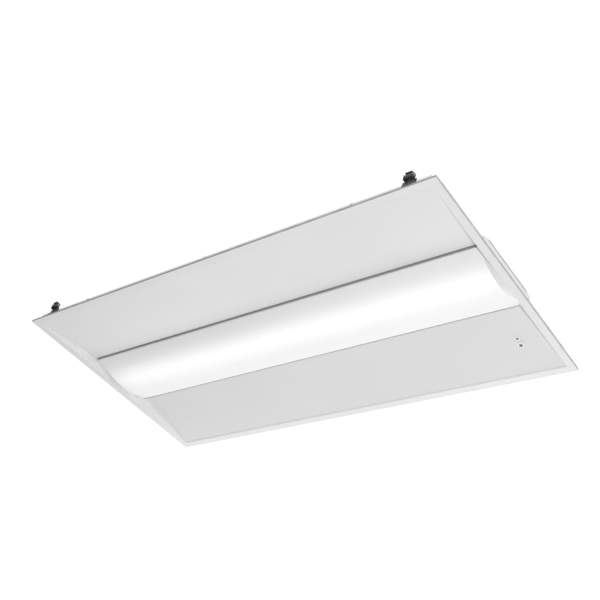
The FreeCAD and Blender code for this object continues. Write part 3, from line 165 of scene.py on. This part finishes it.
def powder_coat(name, colour, rough, peel, painted_edge_shade=False):
    """White coat: orange-peel bump of height peel, faint clouds and specks, uneven gloss.

    With the edge option set, painted shade greys the lip's outer faces and the end
    plates' crests, with a mottle: dark lines that stand in for shadow along the outer edges.
    """
    material, tree, place, shader = new_material(name)
    cloud = noise(tree, place, 3.5, 3)
    speck = noise(tree, place, 900, 1)
    base = tree.mix(tree.ramp(cloud, [(0.3, 0.0), (0.7, 1.0)]), colour, darker(colour, 0.965))
    base = tree.mix(tree.ramp(speck, [(0.60, 0.0), (0.75, 0.12)]), base, grey(0.72))
    # Painted shade: the lips' outer faces and the end plates' crests turn grey, mottled, for
    # shadow lines.
    if painted_edge_shade:
        axes = tree.add("ShaderNodeSeparateXYZ", Vector=place).outputs
        edge_shade_mottle = tree.ramp(noise(tree, place, 35, 3), [(0.3, 0.75), (0.7, 1.0)])
        for reach, limit, level in ((tree.math("ABSOLUTE", axes[1]), LIP_SIDE, 0.26),
                                    (tree.math("ABSOLUTE", axes[0]), LIP_END, 0.40),
                                    (axes[2], PLATE_CREST, 0.16)):
            beyond = tree.math("GREATER_THAN", reach, limit)
            base = tree.mix(tree.math("MULTIPLY", beyond, edge_shade_mottle), base, grey(level))
    tree.links.new(base, shader.inputs["Base Color"])
    gloss = tree.scaled(noise(tree, place, 60, 2), 0.10, rough - 0.05)
    tree.links.new(gloss, shader.inputs["Roughness"])
    skin = tree.math("ADD", noise(tree, place, 420, 1), tree.math("MULTIPLY", speck, 0.35))
    bump(tree, shader, skin, peel, 0.6)
    return material


def zinc_sheet(name):
    """Galvanised steel: spangle cells, rolling streaks and a soft grey sheen."""
    material, tree, place, shader = new_material(name)
    wander = tree.add("ShaderNodeTexNoise", Vector=place, Scale=60, Detail=2).outputs[1]
    bent = tree.add("ShaderNodeVectorMath", {"operation": "MULTIPLY_ADD"},
                    i0=wander, i1=(0.02, 0.02, 0.02), i2=place)
    cells = tree.add("ShaderNodeTexVoronoi", Vector=bent.outputs[0], Scale=150)
    tone = tree.add("ShaderNodeSeparateColor", Color=cells.outputs["Color"]).outputs[0]
    streak = noise(tree, stretched(tree, place, (4, 220, 220)), 1.0, 3)
    base = tree.mix(tone, rgb(0.57, 0.59, 0.60), rgb(0.65, 0.67, 0.68))
    rolled = tree.ramp(streak, [(0.35, 0.0), (0.7, 0.35)])
    tree.links.new(tree.mix(rolled, base, rgb(0.46, 0.47, 0.49)), shader.inputs["Base Color"])
    shader.inputs["Metallic"].default_value = 0.85
    tree.links.new(tree.scaled(tone, 0.10, 0.40), shader.inputs["Roughness"])
    bump(tree, shader, noise(tree, place, 260, 2), 0.00003)
    return material


def drawn_metal(name, colour, rough, along=(3, 500, 500), metallic=0.9):
    """Drawn or plated metal with fine streaks along its run and slight staining."""
    material, tree, place, shader = new_material(name)
    streak = noise(tree, stretched(tree, place, along), 1.0, 4)
    spot = noise(tree, place, 45, 3)
    dark = darker(colour, 0.72)
    base = tree.mix(tree.ramp(streak, [(0.3, 0.0), (0.75, 0.5)]), colour, dark)
    base = tree.mix(tree.ramp(spot, [(0.55, 0.0), (0.8, 0.25)]), base, dark)
    tree.links.new(base, shader.inputs["Base Color"])
    shader.inputs["Metallic"].default_value = metallic
    tree.links.new(tree.scaled(streak, 0.18, rough - 0.06), shader.inputs["Roughness"])
    bump(tree, shader, streak, 0.00002)
    return material


def moulded(name, colour, rough=0.45, grain=0.00004, scale=700, fade=0.86):
    """Moulded plastic or rubber: fine grain, flow marks down to fade, and rubbed gloss."""
    material, tree, place, shader = new_material(name)
    flow = noise(tree, place, 30, 3)
    marks = tree.ramp(flow, [(0.35, 0.0), (0.7, 0.7)])
    tree.links.new(tree.mix(marks, colour, darker(colour, fade)), shader.inputs["Base Color"])
    tree.links.new(tree.scaled(flow, 0.16, rough - 0.08), shader.inputs["Roughness"])
    bump(tree, shader, noise(tree, place, scale, 2), grain)
    return material


def two_tone(name, node, way, light, dark, radius):
    """Moulded button: a dark inlay in the light end that faces way, with a fine grain."""
    material, tree, place, shader = new_material(name)
    corners = [vertex.co for vertex in NODES[node].data.vertices]
    reach = max(corner.dot(way) for corner in corners)
    face = [corner for corner in corners if corner.dot(way) > reach - 0.0002]
    middle = sum(face, Vector()) / len(face)
    offset = tree.add("ShaderNodeVectorMath", {"operation": "SUBTRACT"}, i0=place, i1=middle)
    length = tree.add("ShaderNodeVectorMath", {"operation": "LENGTH"}, i0=offset.outputs[0])
    inlay = tree.math("LESS_THAN", length.outputs["Value"], radius)
    grain = noise(tree, place, 700, 2)
    pale = tree.mix(tree.ramp(grain, [(0.3, 0.0), (0.7, 0.3)]), light, rgb(0.7, 0.7, 0.69))
    deep = tree.mix(tree.ramp(grain, [(0.3, 0.0), (0.7, 0.5)]), dark, grey(0.03))
    tree.links.new(tree.mix(inlay, pale, deep), shader.inputs["Base Color"])
    shader.inputs["Roughness"].default_value = 0.45
    bump(tree, shader, grain, 0.00004)
    return material


# The lens's glow: across it from its near edge to its far one, and along it from left.
GLOW_ACROSS = [(0.03, 0.0), (0.17, 0.10), (0.29, 0.27), (0.40, 0.32), (0.50, 0.26),
               (0.62, 0.15), (0.75, 0.09), (0.88, 0.07), (0.98, 0.06)]
GLOW_ALONG = [(0.0, 0.70), (0.06, 1.05), (0.16, 1.05), (0.50, 1.0), (0.97, 1.0), (1.0, 0.9)]


def lit_opal(name):
    """Opal acrylic lit from behind: brightest near its middle, fading to edges and ends."""
    material, tree, place, shader = new_material(name)
    axes = tree.add("ShaderNodeSeparateXYZ", Vector=place).outputs
    across = tree.math("ADD", tree.math("DIVIDE", axes[1], LENS_WIDTH), 0.5, True)
    band = tree.ramp(across, GLOW_ACROSS, "B_SPLINE")
    along = tree.math("ADD", tree.math("DIVIDE", axes[0], LENS_LENGTH), 0.5, True)
    glow = tree.math("MULTIPLY", band, tree.ramp(along, GLOW_ALONG))
    cloud = tree.ramp(noise(tree, place, 9, 3), [(0.3, 0.0), (0.7, 1.0)])
    tree.links.new(tree.mix(cloud, grey(0.79), grey(0.81)), shader.inputs["Base Color"])
    rough = tree.scaled(noise(tree, place, 40, 2), 0.10, 0.50)
    tree.links.new(rough, shader.inputs["Roughness"])
    shader.inputs["Specular IOR Level"].default_value = 0.25
    shader.inputs["Emission Color"].default_value = grey(1)
    tree.links.new(glow, shader.inputs["Emission Strength"])
    drawn = noise(tree, stretched(tree, place, (2, 300, 300)), 1.0, 2)
    bump(tree, shader, tree.math("ADD", noise(tree, place, 800, 1), drawn), 0.00002, 0.4)
    return material


EVEN = (60, 60, 60)     # for plated pieces: stains without a drawing direction
MATERIALS = {
    # The frame's coat carries painted shade on the lips' outer faces and the end plates' crests.
    "white_frame": powder_coat("white_frame", grey(0.80), 0.5, 0.000018, painted_edge_shade=True),
    "white_reflector": powder_coat("white_reflector", grey(0.775), 0.5, 0.00005),
    "galvanised": zinc_sheet("galvanised"),
    # The rails show only through the narrow gap beside the lens. Their mid grey is partly the
    # drawn metal's own tone and partly painted shade for that gap.
    "rail_metal": drawn_metal("rail_metal", grey(0.50), 0.5, metallic=0.4),
    "lens_acrylic": lit_opal("lens_acrylic"),
    "cap_white": moulded("cap_white", grey(0.80), 0.4),
    "board_white": moulded("board_white", rgb(0.82, 0.83, 0.81), 0.35, scale=300),
    "chip_phosphor": moulded("chip_phosphor", rgb(0.90, 0.66, 0.18), 0.3),
    "plug_plastic": moulded("plug_plastic", rgb(0.78, 0.77, 0.72)),
    "zinc_steel": drawn_metal("zinc_steel", rgb(0.66, 0.67, 0.69), 0.3, EVEN),
    "ground_green": moulded("ground_green", rgb(0.03, 0.24, 0.07), 0.35),
    "driver_case": drawn_metal("driver_case", rgb(0.72, 0.73, 0.75), 0.4),
    "unit_case": moulded("unit_case", rgb(0.55, 0.04, 0.03), 0.4),
    "battery_sleeve": moulded("battery_sleeve", rgb(0.05, 0.12, 0.34), 0.28),
    "grommet_rubber": moulded("grommet_rubber", grey(0.02), 0.6),
    "bezel_plastic": moulded("bezel_plastic", grey(0.94), 0.35),
    "button_plastic": two_tone("button_plastic", "test_button", -BUTTON_AXIS,
                               rgb(0.9, 0.9, 0.89), grey(0.19), BUTTON_INLAY),
    "indicator_plastic": moulded("indicator_plastic", rgb(0.19, 0.15, 0.15), 0.15),
    "clip_steel": drawn_metal("clip_steel", rgb(0.07, 0.07, 0.075), 0.34, EVEN, 0.5),
    "lead_red": moulded("lead_red", rgb(0.45, 0.02, 0.02), 0.4),
    "lead_white": moulded("lead_white", rgb(0.78, 0.78, 0.75), 0.4),
    "lead_black": moulded("lead_black", grey(0.02), 0.4),
}

for node, slot in SLOT_OF.items():
    holder = NODES[node]
    if not holder.material_slots:
        holder.data.materials.append(MATERIALS[slot])
    for material_slot in holder.material_slots:
        material_slot.material = MATERIALS[slot]


# ---------------------------------------------------------------------- mesh helpers

def finish(name, form, slot, body="fixture"):
    """One piece from a mesh form, with a record slot's material, on a body."""
    mesh = bpy.data.meshes.new(name)
    form.to_mesh(mesh)
    form.free()
    piece = bpy.data.objects.new(name, mesh)
    scene.collection.objects.link(piece)
    mesh.materials.append(MATERIALS[slot])
    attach(piece, body)
    return piece


def bridge(form, previous, ring):
    """Join two closed rings of vertices with faces."""
    for k in range(len(ring)):
        after = (k + 1) % len(ring)
        form.faces.new((previous[k], previous[after], ring[after], ring[k]))


def circle(count):
    """The cosine and sine of each of count even steps round a circle."""
    return [(math.cos(2 * math.pi * k / count), math.sin(2 * math.pi * k / count))
            for k in range(count)]


# ------------------------------------------------------------------- screws in detail

SCREW_SIDES = 24
CROWN_RINGS = 8
THREAD_STEP = 0.0005    # half the threads' pitch
ROOT, CREST = 0.80, 0.97    # the threads' radii, as shares of the shank's
HEAD_EDGE = 0.45        # the height of the head's straight edge, as a share of the head's


def solids(form):
    """The corners of each separate solid in a mesh, in the order of its vertices."""
    form.verts.index_update()
    met, found = set(), []
    for first in form.verts:
        if first.index in met:
            continue
        met.add(first.index)
        stack, group = [first], []
        while stack:
            vertex = stack.pop()
            group.append(vertex.co.copy())
            for edge in vertex.link_edges:
                other = edge.other_vert(vertex)
                if other.index not in met:
                    met.add(other.index)
                    stack.append(other)
        found.append(group)
    return found


def screw_size(points):
    """A screw's tip, the way its head faces, its radii and its lengths, from its solid."""
    low = Vector([min(point[k] for point in points) for k in range(3)])
    high = Vector([max(point[k] for point in points) for k in range(3)])
    spans = high - low
    axis = max(range(3), key=lambda k: min(abs(spans[k] - spans[j])
                                           for j in range(3) if j != k))
    middle = (low + high) / 2
    flat = [k for k in range(3) if k != axis]

    def radius(point):
        return math.hypot(point[flat[0]] - middle[flat[0]], point[flat[1]] - middle[flat[1]])

    head = max(radius(point) for point in points)
    rim = [point[axis] for point in points if radius(point) > 0.9 * head]
    shank = max((radius(point) for point in points if radius(point) < 0.8 * head),
                default=head / 2)
    sign = 1 if max(rim) > high[axis] - 1e-5 else -1
    tip, top = (low[axis], high[axis]) if sign > 0 else (high[axis], low[axis])
    seat = min(rim) if sign > 0 else max(rim)
    base = middle.copy()
    base[axis] = tip
    way = Vector([sign if k == axis else 0 for k in range(3)])
    return base, way, shank, head, abs(seat - tip), abs(top - tip)


def cross_depth(x, y, head):
    """How far the cross recess cuts into the head at a point, as a share of its height."""
    arm, half = 0.55 * head, 0.15 * head
    near, far = sorted((abs(x), abs(y)))
    if near > half or far > arm:
        return 0.0
    return 0.9 * min(1.0, (arm - far) / (0.3 * arm) + 0.25)


def screw_rows(shank, head, seat, top):
    """Radius and height of each ring, from the tip up the threads to the head's edge."""
    lead_in = 0.35 * shank
    steps = max(4, int((seat - lead_in) / THREAD_STEP))
    threads = [(shank * (CREST if step % 2 else ROOT),
                lead_in + (seat - lead_in) * step / steps) for step in range(1, steps)]
    return ([(0.55 * shank, 0.0), (shank, lead_in)] + threads
            + [(shank, seat), (head, seat), (head, seat + HEAD_EDGE * (top - seat))])


def crown_height(x, y, share, head, seat, top):
    """The crowned head's height at a point, share of the head's radius from its middle."""
    crown = seat + (top - seat) * (HEAD_EDGE + (1 - HEAD_EDGE) * math.sqrt(1 - share * share))
    return crown - (top - seat) * cross_depth(x, y, head)


def cross_screws(name, node, turn):
    """Pan-head screws with crowned heads, cross recesses and threads, over the plain ones."""
    source = bmesh.new()
    source.from_mesh(NODES[node].data)
    bmesh.ops.remove_doubles(source, verts=source.verts, dist=1e-6)
    form = bmesh.new()
    for number, points in enumerate(solids(source)):
        base, way, shank, head, seat, top = screw_size(points)
        upright = way.to_track_quat("Z", "Y").to_matrix()
        turned = upright @ Matrix.Rotation(number * turn, 3, "Z")

        def vertex(x, y, z):
            return form.verts.new(base + turned @ Vector((x, y, z)))

        previous = None
        for radius, height in screw_rows(shank, head, seat, top):
            ring = [vertex(radius * c, radius * s, height) for c, s in circle(SCREW_SIDES)]
            if previous is None:
                form.faces.new(list(reversed(ring)))
            else:
                bridge(form, previous, ring)
            previous = ring
        for step in range(1, CROWN_RINGS):
            share = 1 - step / CROWN_RINGS
            spots = [(head * share * c, head * share * s) for c, s in circle(SCREW_SIDES)]
            ring = [vertex(x, y, crown_height(x, y, share, head, seat, top))
                    for x, y in spots]
            bridge(form, previous, ring)
            previous = ring
        middle = vertex(0, 0, crown_height(0, 0, 0, head, seat, top))
        for k in range(SCREW_SIDES):
            form.faces.new((previous[k], previous[(k + 1) % SCREW_SIDES], middle))
    source.free()
    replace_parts(finish(name, form, SLOT_OF[node], BODY_OF[node]), node)


cross_screws("housing_screw_heads", "housing_screws", 0.7)
cross_screws("board_screw_heads", "board_screws", 1.1)
cross_screws("cover_screw_head", "cover_screw", 0.4)
cross_screws("ground_screw_head", "ground_screw", 0.2)


# --------------------------------------------------------------------- gear in detail

def bevelled(form, low, high, bevel):
    """Add a block between two corners in millimetres, with its edges rounded."""
    centre = [(a + b) / 2000 for a, b in zip(low, high)]
    size = [(b - a) / 1000 for a, b in zip(low, high)]
    matrix = Matrix.Translation(centre) @ Matrix.Diagonal((*size, 1))
    made = bmesh.ops.create_cube(form, size=1, matrix=matrix)["verts"]
    edges = list(dict.fromkeys(edge for vertex in made for edge in vertex.link_edges))
    bmesh.ops.bevel(form, geom=edges, offset=bevel / 1000, segments=2, profile=0.5,
                    affect="EDGES")


def blocks(name, slot, corners, bevel):
    """Several rounded blocks as one piece."""
    form = bmesh.new()
    for low, high in corners:
        bevelled(form, low, high, bevel)
    finish(name, form, slot)


def row(name, slot, case, count, pitch, x, y, z, bevel):
    """Equal blocks in a row: x from the case's right end, y from its near side, z from its top."""
    near, end, top = case[0][1], case[1][0], case[1][2]
    blocks(name, slot, [((end + x[0], near + y[0] + pitch * k, top + z[0]),
                         (end + x[1], near + y[1] + pitch * k, top + z[1]))
                        for k in range(count)], bevel)


def strap(name, slot, x, wide, y, z, radius, thick):
    """A tie round the battery's cells: a thin band with a ratchet lock beside its top."""
    form = bmesh.new()
    inside, outside = radius - thick, radius + thick / 2
    section = [(x, inside), (x + wide, inside), (x + wide, outside), (x, outside)]
    rings = [[form.verts.new((along / 1000, (y + reach * c) / 1000, (z + reach * s) / 1000))
              for along, reach in section] for c, s in circle(64)]
    for here, after in zip(rings, rings[1:] + rings[:1]):
        bridge(form, here, after)
    bmesh.ops.recalc_face_normals(form, faces=form.faces)
    lock_y, lock_z = y - radius * 0.80, z + radius * 0.5
    bevelled(form, (x - 1, lock_y - 3, lock_z), (x + wide + 1, lock_y, lock_z + 5), 0.5)
    finish(name, form, slot)


(left, near, low), (end, far, high) = DRIVER
blocks("driver_ribs", "driver_case",
       [((left + 26, y - 2.2, high - 0.5), (end - 34, y + 2.2, high + 0.8))
        for y in (near + 10, far - 10)]
       + [((x, near - 0.5, low + 3), (x + 3, near + 0.4, high - 2))
          for x in range(-215, -15, 20)], 0.4)
row("driver_terminals", "plug_plastic", DRIVER, 7, 4.6, (-19.6, -3), (4, 8), (-0.5, 3.4), 0.35)
row("driver_terminal_keys", "lead_black", DRIVER, 7, 4.6, (-16, -12), (5.2, 6.8), (3.1, 3.9), 0.2)
(left, near, low), (end, far, high) = UNIT
blocks("unit_lid", "unit_case",
       [((left - 0.5, near - 0.5, high - 5), (end + 0.5, far + 0.5, high - 3.8)),
        ((left + 8, near + 5, high - 0.4), (end - 36, far - 5, high + 0.7))], 0.35)
row("unit_terminals", "plug_plastic", UNIT, 8, 5.2, (-22, -4), (5, 9.6), (-0.5, 3.6), 0.35)
row("unit_terminal_keys", "lead_black", UNIT, 8, 5.2, (-17, -13), (6.4, 8.2), (3.3, 4.1), 0.2)
(left, near, low), (end, far, high) = BATTERY
for number, x in enumerate((100, 182, 264)):
    strap("battery_tie_%d" % (number + 1), "lead_white", x, 4.6, (near + far) / 2,
          (low + high) / 2, (far - near) / 2, 0.7)


# ------------------------------------------------------ the spring behind the button

def coil_spring(name, node, turns, wire, axis):
    """A coil of radius wire over the plain one."""
    corners = [vertex.co for vertex in NODES[node].data.vertices]
    heights = [corner.dot(axis) for corner in corners]
    start, stop = min(heights) + wire, max(heights) - wire
    middle = sum(corners, Vector()) / len(corners)
    middle -= axis * middle.dot(axis)
    side = axis.cross(Vector((1, 0, 0))).normalized()
    other = axis.cross(side)
    reach = max((corner - axis * corner.dot(axis) - middle).length
                for corner in corners) - wire
    form = bmesh.new()
    steps = 24 * turns
    previous = None
    for step in range(steps + 1):
        angle = 2 * math.pi * turns * step / steps
        out = side * math.cos(angle) + other * math.sin(angle)
        centre = middle + out * reach + axis * (start + (stop - start) * step / steps)
        ring = [form.verts.new(centre + (out * c + axis * s) * wire) for c, s in circle(10)]
        if previous is None or step == steps:
            form.faces.new(ring if step else list(reversed(ring)))
        if previous is not None:
            bridge(form, previous, ring)
        previous = ring
    bmesh.ops.recalc_face_normals(form, faces=form.faces)
    piece = finish(name, form, SLOT_OF[node])
    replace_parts(piece, node)
    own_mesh(piece)


coil_spring("spring_coil", "test_spring", 5, 0.0003,
            BUTTON_AXIS.normalized())


# ------------------------------------------------------------------------ the camera

camera_data = bpy.data.cameras.new("camera")
camera_data.sensor_width = 36
camera_data.lens = 55.67
camera_data.shift_x = -0.0400
camera_data.shift_y = 0.0125
camera_data.clip_start, camera_data.clip_end = 0.05, 50
camera = bpy.data.objects.new("camera", camera_data)
camera_right = Vector((0.7840, 0.5743, 0.2356))
camera_up = Vector((0.2244, -0.6160, 0.7551))
camera_back = Vector((0.5788, -0.5391, -0.6119))
camera_turn = Matrix((camera_right, camera_up, camera_back)).transposed().to_4x4()
camera.matrix_world = Matrix.Translation((1.36479, -1.17517, -1.25154)) @ camera_turn
scene.collection.objects.link(camera)
scene.camera = camera


# ------------------------------------------------------------------- floor and light

floor_mesh = bpy.data.meshes.new("floor")
floor_form = bmesh.new()
bmesh.ops.create_grid(floor_form, x_segments=8, y_segments=8, size=4.0)
floor_form.to_mesh(floor_mesh)
floor_form.free()
floor = bpy.data.objects.new("floor", floor_mesh)
floor.location = (0, 0, -2.6)
floor_mesh.materials.append(moulded("floor_paint", grey(0.85), 0.8, 0.00005, 900, 0.97))
scene.collection.objects.link(floor)

SKY_LIGHT = 0.50        # what the surroundings give the object
SKY_SEEN = 0.55         # what is added where the camera looks straight at them
world = bpy.data.worlds.new("studio")
world.use_nodes = True
scene.world = world
sky = Tree(world.node_tree)
seen = sky.add("ShaderNodeLightPath").outputs["Is Camera Ray"]
level = sky.math("ADD", sky.math("MULTIPLY", seen, SKY_SEEN), SKY_LIGHT)
shade = sky.add("ShaderNodeBackground", Color=grey(1), Strength=level)
sky.add("ShaderNodeOutputWorld", Surface=shade.outputs[0])


def soft_box(name, position, target, size, power):
    """A rectangular light at a position, aimed at a target; size in metres, power in watts."""
    data = bpy.data.lights.new(name, "AREA")
    data.shape = "RECTANGLE"
    data.size, data.size_y = size
    data.energy = power
    light = bpy.data.objects.new(name, data)
    turn = (Vector(target) - Vector(position)).to_track_quat("-Z", "Y").to_matrix().to_4x4()
    light.matrix_world = Matrix.Translation(position) @ turn
    scene.collection.objects.link(light)


soft_box("light_right", (1.8, -2.0, -1.5), (0, 0, 0), (0.15, 0.15), 36)
soft_box("light_far", (0.0, 1.3, -1.2), (0, 0.2, 0), (1.8, 0.6), 2.5)
soft_box("light_low", (0.0, 1.6, -0.45), (0, 0.2, 0), (1.8, 0.5), 14.6)
soft_box("light_left", (-1.5, 1.2, -0.7), (-0.3, 0.2, 0), (0.8, 0.5), 4.0)
soft_box("light_end", (2.3, -0.3, 0.42), (0.6, 0, 0.03), (0.8, 0.4), 11)
soft_box("light_above", (-0.8, -1.2, 2.4), (0, 0, 0), (2.0, 2.0), 12)
scene.view_settings.view_transform = "Standard"
